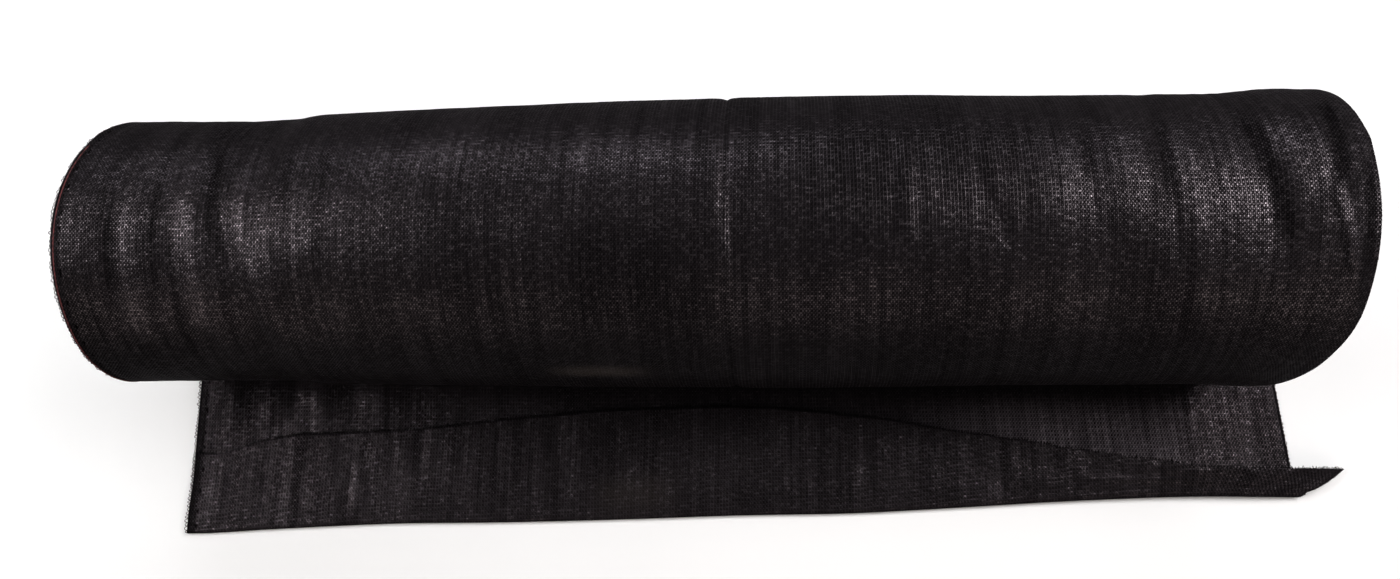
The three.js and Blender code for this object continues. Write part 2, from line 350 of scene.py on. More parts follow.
def add_camera():
    """The camera stands over the front of the roll: looking along +Y, pitched down, then turned
    and rolled a little."""
    data = bpy.data.cameras.new("camera")
    data.sensor_fit = "HORIZONTAL"
    data.sensor_width = SENSOR_WIDTH_MM
    data.lens = SENSOR_WIDTH_MM * FOCAL_PIXELS / FRAME_WIDTH_PIXELS
    pitch, yaw, roll = np.radians([CAMERA_PITCH_DOWN, CAMERA_YAW, CAMERA_ROLL])
    level_right = np.array([1.0, 0.0, 0.0])
    level_forward = np.array([0.0, np.cos(pitch), -np.sin(pitch)])
    level_up = np.cross(level_right, level_forward)
    forward = level_forward * np.cos(yaw) + level_right * np.sin(yaw)
    turned_right = level_right * np.cos(yaw) - level_forward * np.sin(yaw)
    right = turned_right * np.cos(roll) + level_up * np.sin(roll)
    up = level_up * np.cos(roll) - turned_right * np.sin(roll)
    camera = bpy.data.objects.new("camera", data)
    turn = Matrix(np.column_stack([right, up, -forward]).tolist()).to_4x4()
    camera.matrix_world = Matrix.Translation(CAMERA_PLACE) @ turn
    bpy.context.scene.collection.objects.link(camera)
    bpy.context.scene.camera = camera


# Curves, bumps and noise on whole arrays


def smoothstep(x, low, high):
    """0 below low, 1 above high, and an S-shaped rise between them."""
    t = np.clip((x - low) / (high - low), 0, 1)
    return t * t * (3 - 2 * t)


def bell(distance, width):
    """A bell-shaped bump: 1 at the middle, falling away over the given width."""
    return np.exp(-0.5 * (distance / width) ** 2)


def mix(a, b, share):
    """a where share is 0, b where it is 1, and in proportion between."""
    return a + (b - a) * share


def curve_through(table, column, at):
    """Cubic pieces through one column of a table, with the slope at each row taken from its neighbours."""
    places, values = table[:, 0], table[:, column]
    last = len(places) - 1
    after = np.minimum(np.arange(len(places)) + 1, last)
    before = np.maximum(np.arange(len(places)) - 1, 0)
    slopes = (values[after] - values[before]) / (places[after] - places[before])
    at = np.clip(at, places[0], places[-1])
    i = np.clip(np.searchsorted(places, at) - 1, 0, last - 1)
    span = places[i + 1] - places[i]
    t = (at - places[i]) / span
    start = t * (1 - t) ** 2 * span * slopes[i]
    finish = t * t * (t - 1) * span * slopes[i + 1]
    return mix(values[i], values[i + 1], t * t * (3 - 2 * t)) + start + finish


def soft_noise(a, b, seed, period=None):
    """Smooth noise from -1 to 1: random values on a lattice of unit cells, eased between the four corners.
    With a period, the values repeat along b after that many cells, so that a closed loop has no seam."""
    rng = np.random.default_rng(seed)
    lattice = rng.uniform(-1, 1, (512, 512))
    cell_a, cell_b = np.floor(a).astype(int), np.floor(b).astype(int)
    ease_a, ease_b = smoothstep(a - cell_a, 0, 1), smoothstep(b - cell_b, 0, 1)
    next_b = cell_b + 1
    if period is not None:
        cell_b, next_b = cell_b % period, next_b % period
    low = mix(lattice[cell_a % 512, cell_b % 512], lattice[(cell_a + 1) % 512, cell_b % 512], ease_a)
    high = mix(lattice[cell_a % 512, next_b % 512], lattice[(cell_a + 1) % 512, next_b % 512], ease_a)
    return mix(low, high, ease_b)


# Meshes from arrays


def grid_quads(rows, columns, closed=False):
    """Corner numbers of a grid's quads, counted row by row on a lattice with one spare column
    when it is closed."""
    r, c = np.meshgrid(np.arange(rows - 1), np.arange(columns if closed else columns - 1), indexing="ij")
    r, c = r.ravel(), c.ravel()
    wide = columns + 1 if closed else columns
    return np.stack([r * wide + c, r * wide + c + 1, (r + 1) * wide + c + 1, (r + 1) * wide + c], -1)


def enclosed_volume(points, faces):
    """Signed volume inside faces of three or four corners: positive when they point outwards."""
    total = 0.0
    for corners in faces:
        a, b, c = points[corners[:, 0]], points[corners[:, 1]], points[corners[:, 2]]
        total += np.einsum("ij,ij->", a, np.cross(b, c))
        if corners.shape[1] == 4:
            d = points[corners[:, 3]]
            total += np.einsum("ij,ij->", a, np.cross(c, d))
    return total / 6


def mesh_piece(name, points, faces, corner_uv, material):
    """An object at the origin from point coordinates, arrays of faces with three or four corners,
    and for each such array its corners' places on the net, in metres across and along it."""
    if enclosed_volume(points, faces) < 0:
        faces = [f[:, ::-1] for f in faces]
        corner_uv = [uv[:, ::-1] for uv in corner_uv]
    mesh = bpy.data.meshes.new(name)
    sizes = np.concatenate([np.full(len(f), f.shape[1]) for f in faces])
    corners = np.concatenate([f.ravel() for f in faces])
    mesh.vertices.add(len(points))
    mesh.vertices.foreach_set("co", points.astype(np.float32).ravel())
    mesh.loops.add(len(corners))
    mesh.loops.foreach_set("vertex_index", corners.astype(np.int32))
    mesh.polygons.add(len(sizes))
    mesh.polygons.foreach_set("loop_start", (np.cumsum(sizes) - sizes).astype(np.int32))
    mesh.polygons.foreach_set("use_smooth", np.ones(len(sizes), bool))
    layer = mesh.uv_layers.new(name="net")
    places = np.concatenate([uv.reshape(-1, 2) for uv in corner_uv])
    layer.data.foreach_set("uv", places.astype(np.float32).ravel())
    mesh.materials.append(material)
    mesh.update(calc_edges=True)
    mesh.validate()
    piece = bpy.data.objects.new(name, mesh)
    bpy.context.scene.collection.objects.link(piece)
    return piece


def tube_piece(name, paths, radius, material, sides=4, closed=False):
    """Round threads along many paths at once: paths is (threads, steps, 3), and a ring of points
    square to the path is set at every step. Open threads are closed by a flat face at each end."""
    if closed:
        run = np.roll(paths, -1, 1) - np.roll(paths, 1, 1)
    else:
        run = np.gradient(paths, axis=1)
    run /= np.linalg.norm(run, axis=-1, keepdims=True)
    helper = np.where(np.abs(run[..., :1]) > 0.8, np.array([0.0, 1.0, 0.0]), np.array([1.0, 0.0, 0.0]))
    first = np.cross(run, helper)
    first /= np.linalg.norm(first, axis=-1, keepdims=True)
    second = np.cross(run, first)
    turn = 2 * np.pi * np.arange(sides) / sides
    ring = first[..., None, :] * np.cos(turn)[:, None] + second[..., None, :] * np.sin(turn)[:, None]
    points = (paths[..., None, :] + radius * ring).reshape(-1, 3)
    threads, steps = paths.shape[:2]
    t, s, k = np.meshgrid(
        np.arange(threads), np.arange(steps if closed else steps - 1), np.arange(sides), indexing="ij"
    )
    number = lambda step, side: ((t * steps + step % steps) * sides + side % sides).ravel()
    quads = np.stack([number(s, k), number(s, k + 1), number(s + 1, k + 1), number(s + 1, k)], -1)
    faces = [quads]
    if not closed:
        starts = np.arange(threads)[:, None] * steps * sides + np.arange(sides)
        faces += [starts[:, ::-1], starts + (steps - 1) * sides]
    return mesh_piece(name, points, faces, [np.zeros((*f.shape, 2)) for f in faces], material)


# The roll's surface


def fold(distance, width, soft):
    """A soft V: 1 at its tip, rounded over the length soft, with flanks that flatten out over
    the given width."""
    return np.exp((soft - np.sqrt(distance**2 + soft**2)) / width)


def crease_height(along, angle):
    """Sum of the creases: round ones are bells and sharp ones soft Vs, each with a steep and a gentle side,
    fading towards the two ends of its length."""
    total = np.zeros(np.broadcast(along, angle).shape)
    for place, middle, reach, lean, height, left_width, right_width, sharp in ROLL_CREASES:
        turn = angle - middle
        fade = 1 - smoothstep(np.abs(turn), CREASE_FULL_SHARE * reach, reach)
        distance = along - place - lean * np.radians(turn)
        width = np.where(distance < 0, left_width, right_width)
        soft = FOLD_SOFT_SHARE * min(left_width, right_width)
        profile = fold(distance, width, soft) if sharp else bell(distance, width)
        total += CREASE_GAIN * height * fade * profile
    return total


def ripples(along, turn, kind):
    """Soft noise whose cells have one length along X and a whole number of them goes round the roll."""
    height, length, cells, first, seed = kind
    return height * soft_noise(along / length, turn * cells + first, seed, cells)


def tension_ripples(along, angle):
    """Faint long ripples round the roll where some wales are tighter than others, more of them
    at the slack ends, and slow unevenness."""
    turn = angle / 360
    tight = ripples(along, turn, BROAD_RIPPLES) + ripples(along, turn, FINE_RIPPLES)
    slack = 0.5 + 0.8 * smoothstep(np.abs(along), *SLACK_ENDS)
    return ripples(along, turn, SLOW_RIPPLES) + tight * slack


def roll_surface(x, angle, inset=0.0, wander=1.0):
    """Points on the roll at place x and angle in degrees: a circle of the roll's radius there, with its
    creases and ripples, drawn in by inset, standing on a flat spot. wander is the share of the rim's
    own wandering."""
    shift = np.where(x < 0, curve_through(END_WANDER, 1, angle), -curve_through(END_WANDER, 2, angle))
    along = x + shift * wander
    full = curve_through(ROLL_RADII, 1, x)
    radius = full + crease_height(along, angle) + tension_ripples(along, angle) - inset
    theta = np.radians(angle)
    height = np.maximum(LOWEST + full - FLAT_SPOT + radius * np.cos(theta), LOWEST)
    return np.stack(np.broadcast_arrays(along, -radius * np.sin(theta), height), -1)


def rim_wander(x):
    """Share of the rim's wandering at place x: all of it at the ends, none well inside."""
    return smoothstep(np.abs(x), HALF_LENGTH - END_WANDER_REACH, HALF_LENGTH)


def net_wrap(material):
    """The outermost turn: the roll's surface from rim to rim, turned in over its own thickness at both rims,
    and closed inside the roll, where it isn't seen."""
    rim_x = HALF_LENGTH - RIM_BACK
    x = np.concatenate([-rim_x[::-1], WRAP_ROWS, rim_x])
    near_rim = RIM_INSET * smoothstep(np.abs(WRAP_ROWS), *RIM_ROUNDING)
    inset = np.concatenate([RIM_INSET + RIM_TURN_IN[::-1], near_rim, RIM_INSET + RIM_TURN_IN])
    angle = -180 + 360 * np.arange(WRAP_STEPS_ROUND + 1) / WRAP_STEPS_ROUND
    points = roll_surface(x[:, None], angle[None, :], inset[:, None], rim_wander(x)[:, None])
    rows, columns = len(x), WRAP_STEPS_ROUND
    lattice = grid_quads(rows, columns, closed=True)
    across = np.broadcast_to((x + HALF_LENGTH)[:, None], points.shape[:2])
    around = np.broadcast_to(np.radians(angle)[None, :] * MAP_RADIUS, points.shape[:2])
    uv = np.stack([across, around], -1).reshape(-1, 2)
    number = (np.arange(rows)[:, None] * columns + np.arange(columns + 1)[None, :] % columns).ravel()
    rings = points[:, :columns]
    centres = np.stack([rings[0].mean(0), rings[-1].mean(0)])
    k = np.arange(columns)
    first = np.stack([np.full(columns, rows * columns), (k + 1) % columns, k], -1)
    last_row = (rows - 1) * columns
    last = np.stack([np.full(columns, rows * columns + 1), last_row + k, last_row + (k + 1) % columns], -1)
    everything = np.concatenate([rings.reshape(-1, 3), centres])
    faces = [number[lattice], first, last]
    corner_uv = [uv[lattice], np.zeros((columns, 3, 2)), np.zeros((columns, 3, 2))]
    return mesh_piece("net_wrap", everything, faces, corner_uv, material)


def end_turns(name, side, seed, material):
    """The wound edges on one end: a spiral of ridges, one for each turn, that fits the rim's own outline.
    Rows run out from the eye, four to a turn, and a row that has gone once round meets the row one turn
    further out. Each turn stands out a little more or less than the next."""
    edge = side * (HALF_LENGTH - FACE_BEHIND_RIM)
    angle = -180 + 360 * np.arange(TURN_STEPS_ROUND + 1) / TURN_STEPS_ROUND
    rim = roll_surface(np.array(edge), angle, RIM_INSET + TURN_PITCH + FACE_CLEARANCE, 1.0)
    middle = np.array([0.0, rim[:-1, 2].mean()])
    reach = np.linalg.norm(rim[:, 1:] - middle, axis=1)
    turns = int((reach.mean() - EYE_RADIUS) / TURN_PITCH) - 1
    rows = turns * ROWS_PER_TURN
    row = np.arange(rows)
    spiral = row[:, None] / ROWS_PER_TURN + (np.arange(TURN_STEPS_ROUND + 1) / TURN_STEPS_ROUND)[None, :]
    share = (EYE_RADIUS + TURN_PITCH * spiral) / (EYE_RADIUS + TURN_PITCH * (turns + 1))
    flat = middle + (rim[:, 1:] - middle)[None] * share[..., None]
    profile = TURN_PROFILE[row % ROWS_PER_TURN][:, None]
    stand_out = TURN_UNEVENNESS * soft_noise(np.floor(spiral + 1e-9) * 0.83, spiral * 2.3, seed)
    stand_out += TURN_DRIFT * soft_noise(spiral * 0.21, spiral * 0.0 + 3.0, seed + 1)
    wander = (rim[:, 0] - edge)[None] * side * smoothstep(share, STEADY_FACE_SHARE, 1)
    pit = EYE_PIT * (1 - smoothstep(share, 0.04, 0.10))
    dish = END_DISH * (1 - share**2)
    depth = dish + TURN_DEPTH * (1 - profile) + pit - stand_out * smoothstep(share, 0.08, 0.2)
    x = side * (HALF_LENGTH - CREST_BEHIND_RIM - depth + wander)
    points = np.concatenate([x[..., None], flat], -1)
    columns = TURN_STEPS_ROUND
    r, c = np.meshgrid(np.arange(rows - 1), np.arange(columns), indexing="ij")
    kept = (c + 1 < columns) | (r + 1 + ROWS_PER_TURN < rows)
    r, c = r[kept], c[kept]
    number = lambda a, b: np.where(b < columns, a * columns + b % columns, (a + ROWS_PER_TURN) * columns)
    quads = np.stack([number(r, c), number(r, c + 1), number(r + 1, c + 1), number(r + 1, c)], -1)
    length = spiral * 2 * np.pi * (EYE_RADIUS + TURN_PITCH * spiral / 2)
    uv = np.stack([np.broadcast_to(row[:, None] / ROWS_PER_TURN, length.shape), length], -1)
    corner_uv = np.stack([uv[r, c], uv[r, c + 1], uv[r + 1, c + 1], uv[r + 1, c]], 1)
    ring = points[:, :columns].reshape(-1, 3)
    inner = np.concatenate([np.arange(columns), np.arange(ROWS_PER_TURN, 0, -1) * columns])
    top = (rows - 1) * columns
    step_down = (rows - 1 - np.arange(1, ROWS_PER_TURN)) * columns + columns - 1
    outer = np.concatenate([top + np.arange(columns), step_down])
    return spiral_piece(name, side, ring, quads, corner_uv, inner, outer, middle, material)


def spiral_piece(name, side, ring, quads, corner_uv, inner, outer, middle, material):
    """Closes a spiral of turns: a point deep in the eye, and a point behind the outermost turn."""
    eye = np.array([[side * (HALF_LENGTH - EYE_BOTTOM), *middle]])
    back = np.array([[side * (HALF_LENGTH - FACE_BACK), *middle]])
    points = np.concatenate([ring, eye, back])
    fan = lambda loop, tip: np.stack([np.full(len(loop), tip), np.roll(loop, -1), loop], -1)
    pit, cap = fan(inner, len(ring)), fan(outer, len(ring) + 1)[:, ::-1]
    extra = [np.zeros((len(pit), 3, 2)), np.zeros((len(cap), 3, 2))]
    return mesh_piece(name, points, [quads, pit, cap], [corner_uv, *extra], material)


# The loose end


def loose_end_middle(fold_x, step_share):
    """Points in the middle of the sheet's thickness. Across the net a section is named by where it meets
    the fold. Along it, a share from 0 to 1 is the flat base from under the roll to the fold, 1 to 2 is half
    a turn round the fold, and 2 to 3 is the flap back to its free edge, which wavers a little and is drawn
    out to a point at its right corner."""
    base_t = np.clip(step_share, 0, 1)
    fold_t = np.clip(step_share - 1, 0, 1)
    flap_t = np.clip(step_share - 2, 0, 1)
    fold_y, edge_y, curl, lift = (curve_through(FLAP_SECTIONS, column, fold_x) for column in range(1, 5))
    edge_y = edge_y + FREE_EDGE_WAVER * soft_noise(fold_x / FREE_EDGE_WAVE, fold_x * 0 + 2.5, 24)
    across = (fold_x - FOLD_LEFT) / (FOLD_RIGHT - FOLD_LEFT)
    base_x = mix(LOOSE_END_LEFT, LOOSE_END_RIGHT, across)
    corner = CORNER_POINT * smoothstep(fold_x, FOLD_RIGHT - CORNER_WIDTH, FOLD_RIGHT) ** 2
    out_to_corner = mix(CORNER_AT_FOLD * smoothstep(fold_t, 0.4, 1), 1, flap_t**CORNER_BULGE)
    x = mix(base_x, fold_x, base_t) + corner * out_to_corner
    turn_y = fold_y + curl
    base_y = mix(TUCK_UNDER_ROLL, turn_y, base_t)
    y = np.where(flap_t > 0, mix(turn_y, edge_y, flap_t), base_y - curl * np.sin(np.pi * fold_t))
    over_fold = SHEET_CENTRE + curl * (1 - np.cos(np.pi * fold_t))
    ridges = sum(height * bell(fold_x - place, width) for place, height, width in FLAP_RIDGES)
    flap_z = mix(SHEET_CENTRE + 2 * curl, lift, smoothstep(flap_t, 0, 1)) + ridges * flap_t
    z = np.where(flap_t > 0, flap_z, over_fold)
    return x, y, z, edge_y


def sheet_ripples(fold_x, along, kind):
    """Soft noise from 0 to twice its height, in cells that are narrow across the net and long along it."""
    height, length, first, seed = kind
    return height * (1 + soft_noise(fold_x / length, along + first, seed))


def loose_end_ripples(fold_x, step_share, y, edge_y):
    """Height added to the flat lie of the sheet: waves where it leaves the roll, faint ripples along
    the wales on the base and the flap, and a crease along the raised right end of the flap."""
    waves = sum(height * bell(fold_x - place, width) for place, height, width in BASE_WAVES)
    out = smoothstep(-y, *WAVES_RISE)
    fade_from, fade_to = WAVES_DIE
    near_flap = smoothstep(y, edge_y + fade_from, edge_y + fade_to)
    along = step_share * SHEET_CELLS
    broad = sheet_ripples(fold_x, along, SHEET_BROAD_RIPPLES)
    faint = broad + sheet_ripples(fold_x, along, SHEET_FINE_RIPPLES)
    on_base = (step_share <= 1) * (waves * out * near_flap + faint * out)
    flap_t = np.clip(step_share - 2, 0, 1)
    rise = smoothstep(flap_t, 0.0, 0.25)
    height, share, share_width, place, width = FLAP_PINCH
    pinch = height * bell(flap_t - share, share_width) * bell(fold_x - place, width)
    return on_base + (step_share > 2) * (FLAP_RIPPLE_GAIN * faint * rise + pinch)


def loose_end(material):
    """The sheet: its middle surface set off by half its thickness to both faces, and closed round
    its four edges."""
    fold_x = np.linspace(FOLD_LEFT, FOLD_RIGHT, SHEET_STEPS_ACROSS)[:, None]
    share = np.concatenate([
        np.linspace(0, 1, BASE_STEPS, endpoint=False),
        np.linspace(1, 2, FOLD_STEPS, endpoint=False),
        np.linspace(2, 3, FLAP_STEPS),
    ])[None, :]
    x, y, z, edge_y = loose_end_middle(fold_x, share)
    z = z + loose_end_ripples(fold_x, share, y, edge_y)
    middle = np.stack(np.broadcast_arrays(x, y, z), -1)
    along = np.gradient(middle, axis=1)
    across = np.gradient(middle, axis=0)
    square = np.cross(across, along)
    square /= np.linalg.norm(square, axis=-1, keepdims=True)
    half = NET_THICKNESS / 2
    inside, outside = middle - square * half, middle + square * half
    loops = np.concatenate([inside, outside[:, ::-1]], 1)
    rows, columns = loops.shape[:2]
    lattice = grid_quads(rows, columns, closed=True)
    steps = np.linalg.norm(np.diff(middle, axis=1), axis=-1)
    length = np.concatenate([np.zeros((rows, 1)), np.cumsum(steps, 1)], 1)
    width = np.broadcast_to(NET_WIDTH * (fold_x - FOLD_LEFT) / (FOLD_RIGHT - FOLD_LEFT), length.shape)
    face_uv = np.stack([width, length], -1)
    uv = np.concatenate([face_uv, face_uv[:, ::-1], face_uv[:, :1]], 1).reshape(-1, 2)
    number = (np.arange(rows)[:, None] * columns + np.arange(columns + 1)[None, :] % columns).ravel()
    j = np.arange(columns // 2 - 1)
    strip = np.stack([j + 1, j, columns - 1 - j, columns - 2 - j], -1)
    far = (rows - 1) * columns + strip[:, ::-1]
    wide = columns + 1
    far_uv = (rows - 1) * wide + strip[:, ::-1]
    faces = [number[lattice], strip, far]
    corner_uv = [uv[lattice], uv[strip], uv[far_uv]]
    piece = mesh_piece("loose_end_net", loops.reshape(-1, 3), faces, corner_uv, material)
    widths = np.linalg.norm(np.diff(middle, axis=0), axis=-1)[:, 1:]
    area = float((0.5 * (steps[1:] + steps[:-1]) * widths).sum())
    return piece, middle, float(length.max()), area


# Edge threads


def edge_loops(name, edge, outward, up, reach, material, seed):
    """Small loops of thread along an edge, one for each course: each leaves the edge, swings out by reach
    and comes back a course further on. edge, outward and up are (steps, 3) arrays along the edge."""
    steps = np.linalg.norm(np.diff(edge, axis=0), axis=1)
    length = np.concatenate([[0.0], np.cumsum(steps)])
    count = int(length[-1] / COURSE_PITCH) - 1
    rng = np.random.default_rng(seed)
    start = COURSE_PITCH * (0.5 + np.arange(count))[:, None]
    t = np.linspace(0, 1, LOOP_STEPS)[None, :]
    place = start + COURSE_PITCH * (t - 0.5) * rng.uniform(0.8, 1.3, (count, 1))
    swing = reach * rng.uniform(0.55, 1.15, (count, 1)) * np.sin(np.pi * t) ** 0.7 - 0.0004
    tilt = rng.uniform(-0.5, 0.6, (count, 1)) * np.maximum(swing, 0)
    at = lambda values: np.stack([np.interp(place, length, values[:, k]) for k in range(3)], -1)
    paths = at(edge) + at(outward) * swing[..., None] + at(up) * tilt[..., None]
    return tube_piece(name, paths, LOOP_THREAD, material, sides=3)


def roll_rim_loops(side, material):
    """Loops of thread round one rim of the roll, standing out along X from its outermost turn."""
    angle = np.linspace(-178, 178, RIM_STEPS)
    x = np.full_like(angle, side * (HALF_LENGTH - LOOP_BEHIND_RIM))
    edge = roll_surface(x, angle, LOOP_UNDER_RIM, 1.0)
    outward = np.broadcast_to([float(side), 0.0, 0.0], edge.shape)
    up = np.stack([np.zeros_like(angle), -np.sin(np.radians(angle)), np.cos(np.radians(angle))], -1)
    side_name = "left" if side < 0 else "right"
    reach = LEFT_LOOP_REACH if side < 0 else RIGHT_RIM_LOOP_REACH
    return edge_loops(f"{side_name}_rim_loops", edge, outward, 0.5 * up, reach, material, 31 + side)


def sheet_edge_loops(middle, side, material):
    """Loops of thread along one side edge of the loose end."""
    row = 0 if side < 0 else -1
    edge = middle[row]
    outward = np.broadcast_to([float(side), 0.0, 0.0], edge.shape)
    up = np.broadcast_to([0.0, 0.0, 0.3], edge.shape)
    side_name = "left" if side < 0 else "right"
    reach = LEFT_LOOP_REACH if side < 0 else RIGHT_SHEET_LOOP_REACH
    return edge_loops(f"loose_end_{side_name}_loops", edge, outward, up, reach, material, 41 + side)


def cut_ends(middle, material):
    """Short cut ends of thread along the free edge of the flap, two for each wale, leaning at random."""
    edge = middle[:, -1]
    length = np.concatenate([[0.0], np.cumsum(np.linalg.norm(np.diff(edge, axis=0), axis=1))])
    count = int(2 * length[-1] / WALE_PITCH)
    rng = np.random.default_rng(51)
    scatter = rng.uniform(-CUT_END_SCATTER, CUT_END_SCATTER, count)
    place = 0.5 * WALE_PITCH * (0.5 + np.arange(count)) + scatter
    root = np.stack([np.interp(place, length, edge[:, k]) for k in range(3)], -1)
    reach = rng.uniform(*CUT_END_REACH, (count, 1, 1))
    lean = np.stack([rng.uniform(-0.8, 0.8, count), np.ones(count), rng.uniform(-0.5, 0.1, count)], -1)
    t = np.linspace(-0.4, 1, 4)[None, :, None]
    bend = np.stack([np.zeros(count), np.zeros(count), rng.uniform(-0.3, 0.1, count)], -1)
    paths = root[:, None, :] + reach * (lean[:, None, :] * t + bend[:, None, :] * t * t)
    return tube_piece("cut_ends", paths, CUT_END_THREAD, material, sides=3)


def marker_thread(material):
    """The marker thread laid in the left selvedge: a thread round the roll just inside its rim, half sunk
    in the net. Round the back it lies under the outermost turn."""
    angle = np.linspace(-180, 180, MARKER_STEPS, endpoint=False)
    weave = MARKER_WEAVE * np.sin(np.arange(MARKER_STEPS) * 2 * np.pi * 5 / 12)
    from_edge = mix(MARKER_FROM_EDGE, 0.6 * MARKER_FROM_EDGE, smoothstep(angle, -20, 55))
    x = from_edge - HALF_LENGTH + weave
    sunk = MARKER_SUNK * (1 - smoothstep(angle, -40, -32))
    path = roll_surface(x, angle, sunk, rim_wander(x))
    return tube_piece("marker_thread", path[None], MARKER_RADIUS, material, sides=6, closed=True)


# Materials


class Finish:
    """A material with short ways to add nodes. Sockets take numbers, colours or another node's output."""

    def __init__(self, name):
        self.material = bpy.data.materials.new(name)
        self.material.use_nodes = True
        self.tree = self.material.node_tree
        self.tree.nodes.clear()

    def feed(self, socket, value):
        if isinstance(value, bpy.types.NodeSocket):
            self.tree.links.new(value, socket)
        else:
            socket.default_value = value

    def add(self, kind, settings=None, **sockets):
        node = self.tree.nodes.new("ShaderNode" + kind)
        for key, value in (settings or {}).items():
            setattr(node, key, value)
        for key, value in sockets.items():
            self.feed(node.inputs[key.replace("_", " ")], value)
        return node

    def math(self, operation, a, b=0.0, c=0.0):
        node = self.tree.nodes.new("ShaderNodeMath")
        node.operation = operation
        for socket, value in zip(node.inputs, (a, b, c)):
            self.feed(socket, value)
        return node.outputs[0]

    def ramp(self, value, low, high, to_low=0.0, to_high=1.0):
        """value carried from low..high to to_low..to_high with soft ends."""
        settings = {"interpolation_type": "SMOOTHSTEP"}
        node = self.add("MapRange", settings, Value=value)
        for key, amount in zip(("From Min", "From Max", "To Min", "To Max"), (low, high, to_low, to_high)):
            node.inputs[key].default_value = amount
        return node.outputs[0]

    def spot(self, x, y):
        return self.add("CombineXYZ", X=x, Y=y).outputs[0]

    def near(self, value, middle, inner, outer, amount=1.0):
        """amount within inner of the middle, 0 beyond outer, and soft between."""
        away = self.math("ABSOLUTE", self.math("SUBTRACT", value, middle))
        return self.ramp(away, inner, outer, amount, 0.0)

    def stretch(self, value, ends, amount=1.0):
        """amount from the second to the third of four places, 0 before the first and past the last."""
        start, full, fading, end = ends
        rise = self.ramp(value, start, full, 0.0, amount)
        return self.math("MULTIPLY", rise, self.ramp(value, fading, end, 1.0, 0.0))

    def noise(self, x, y, x_scale, y_scale, detail=1.0):
        settings = {"noise_dimensions": "2D"}
        place = self.spot(self.math("MULTIPLY", x, x_scale), self.math("MULTIPLY", y, y_scale))
        return self.add("TexNoise", settings, Vector=place, Scale=1.0, Detail=detail).outputs[0]

    def blend(self, share, first, second):
        node = self.add("Mix", {"data_type": "RGBA"})
        self.feed(node.inputs[0], share)
        self.feed(node.inputs[6], first)
        self.feed(node.inputs[7], second)
        return node.outputs[2]

    def finish(self, **sockets):
        shader = self.add("BsdfPrincipled", **sockets)
        output = self.add("OutputMaterial")
        self.tree.links.new(shader.outputs[0], output.inputs["Surface"])
        return self.material


def net_places(finish):
    """Distance across and along the net, in metres, from the piece's own map."""
    split = finish.add("SeparateXYZ", Vector=finish.add("UVMap", {"uv_map": "net"}).outputs[0])
    return split.outputs[0], split.outputs[1]


def stitch_counts(f, u, v):
    """Places on the net counted in wales and in courses, both of which wander a little."""
    drift = f.noise(u, v, 22.0, 9.0)
    waver = f.noise(u, v, 40.0, 14.0)
    wale = f.math("DIVIDE", f.math("MULTIPLY_ADD", drift, 0.0016, u), WALE_PITCH)
    course = f.math("DIVIDE", f.math("MULTIPLY_ADD", waver, 0.0024, v), COURSE_PITCH)
    return drift, wale, course


def knit(f, u, v, wale, course):
    """How much thread lies at a place: a pillar of stitches along each wale, tape that runs zigzag from one
    pillar to the next, and knots where they meet. On the roll's upper right the pillars show more and
    the knots less. The zigzag's swing is given as well."""
    in_wale = f.math("FRACT", wale)
    swing = f.math("ABSOLUTE", f.math("MULTIPLY_ADD", f.math("FRACT", course), 2.0, -1.0))
    from_pillar = f.math("SUBTRACT", 0.5, f.math("ABSOLUTE", f.math("SUBTRACT", in_wale, 0.5)))
    from_tape = f.math("ABSOLUTE", f.math("SUBTRACT", in_wale, swing))
    pillar = f.ramp(from_pillar, 0.06, 0.19, 0.45, 0.0)
    tape = f.ramp(from_tape, 0.08, 0.28, 0.25, 0.0)
    across = f.math("COSINE", f.math("MULTIPLY", wale, 2 * np.pi))
    along = f.math("SINE", f.math("MULTIPLY", course, 2 * np.pi))
    knot = f.ramp(f.math("MULTIPLY", across, along), -0.8, 0.15, 1.0, 0.0)
    ribbed = f.math("MULTIPLY", f.near(u, *RIBBED_ACROSS), f.near(v, *RIBBED_ALONG))
    knot = f.math("MULTIPLY", knot, f.ramp(ribbed, 0.0, 1.0, 1.0, 0.42))
    pillar = f.math("MULTIPLY", pillar, f.ramp(ribbed, 0.0, 1.0, 1.0, 1.4))
    return f.math("MAXIMUM", knot, f.math("MAXIMUM", pillar, tape)), swing


